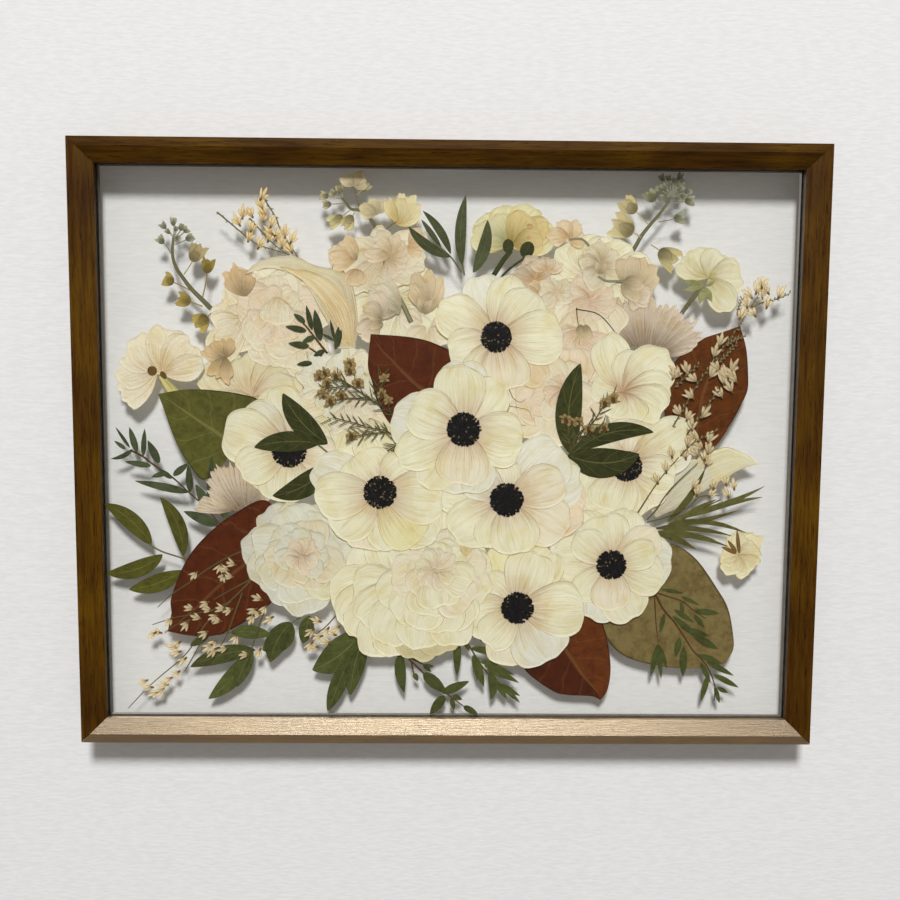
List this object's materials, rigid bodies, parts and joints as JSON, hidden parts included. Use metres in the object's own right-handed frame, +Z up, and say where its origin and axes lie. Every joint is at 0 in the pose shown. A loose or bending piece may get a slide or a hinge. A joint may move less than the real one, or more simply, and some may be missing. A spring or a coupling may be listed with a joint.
{
  "type": "pressed flower frame",
  "caption": "Wooden floating frame with two glass panes that hold pressed flowers, leaves and sprigs between them, hung on a wall.",
  "frame": {"origin": "centre of the bounding box of the whole frame, hanger included", "axes": "front faces -Y, +Z is up, +X runs to the right as seen from the front"},
  "size_m": [0.53, 0.0212, 0.4284],
  "materials": {
    "walnut": "satin oiled",
    "bead": "matte stained",
    "spacer": "matte",
    "pane": "clear",
    "steel": "satin",
    "white_petal": "dry, translucent",
    "blush_petal": "dry, translucent",
    "pink_petal": "dry, translucent",
    "cream_petal": "dry, translucent",
    "orange_petal": "dry, translucent",
    "brown_leaf": "dry",
    "red_brown_leaf": "dry",
    "olive_leaf": "dry",
    "green_leaf": "dry",
    "pale_leaf": "dry",
    "straw_blossom": "dry"
  },
  "bodies": {
    "root": {"rail_top": "walnut", "rail_bottom": "walnut", "rail_left": "walnut", "rail_right": "walnut", "front_glass": "pane", "back_glass": "pane", "spacer": "spacer", "back_bead": "bead", "sawtooth_hanger": "steel", "hanger_nail_left": "steel", "hanger_nail_right": "steel", "magnolia_leaf_dark": "brown_leaf", "magnolia_leaf_left": "brown_leaf", "magnolia_leaf_red": "red_brown_leaf", "magnolia_leaf_right": "brown_leaf", "magnolia_leaf_green": "green_leaf", "magnolia_leaf_olive": "olive_leaf", "larkspur_left": "blush_petal", "larkspur_centre": "cream_petal", "larkspur_right": "cream_petal", "genista_top_left": "straw_blossom", "genista_bottom_left": "straw_blossom", "genista_right": "straw_blossom", "willow_left": "pale_leaf", "willow_right": "pale_leaf", "lance_leaves": "olive_leaf", "white_petals_right": "white_petal", "white_flower_upper": "white_petal", "veined_flower": "blush_petal", "crumpled_rose": "blush_petal", "crinkled_flower": "white_petal", "calla_left": "cream_petal", "calla_right": "cream_petal", "scabiosa_right": "white_petal", "scabiosa_left": "white_petal", "back_flower_left": "white_petal", "back_flower_right": "white_petal", "ranunculus": "cream_petal", "dried_flower": "orange_petal", "translucent_rose": "blush_petal", "blush_rose": "blush_petal", "garden_rose": "pink_petal", "stock_left": "pink_petal", "stock_right": "pink_petal", "anemone_side": "white_petal", "anemone_left": "white_petal", "anemone_centre_left": "white_petal", "anemone_centre_right": "white_petal", "anemone_right": "white_petal", "anemone_bottom_right": "white_petal", "anemone_bottom": "white_petal", "anemone_top": "white_petal", "anemone_centre": "white_petal", "ruscus_centre": "green_leaf", "ruscus_right": "green_leaf", "ruscus_left": "olive_leaf", "ruscus_bottom_left": "green_leaf", "sprig_upper_left": "pale_leaf", "sprig_bottom_left": "green_leaf", "sprig_bottom_right": "green_leaf"}
  },
  "joints": []
}
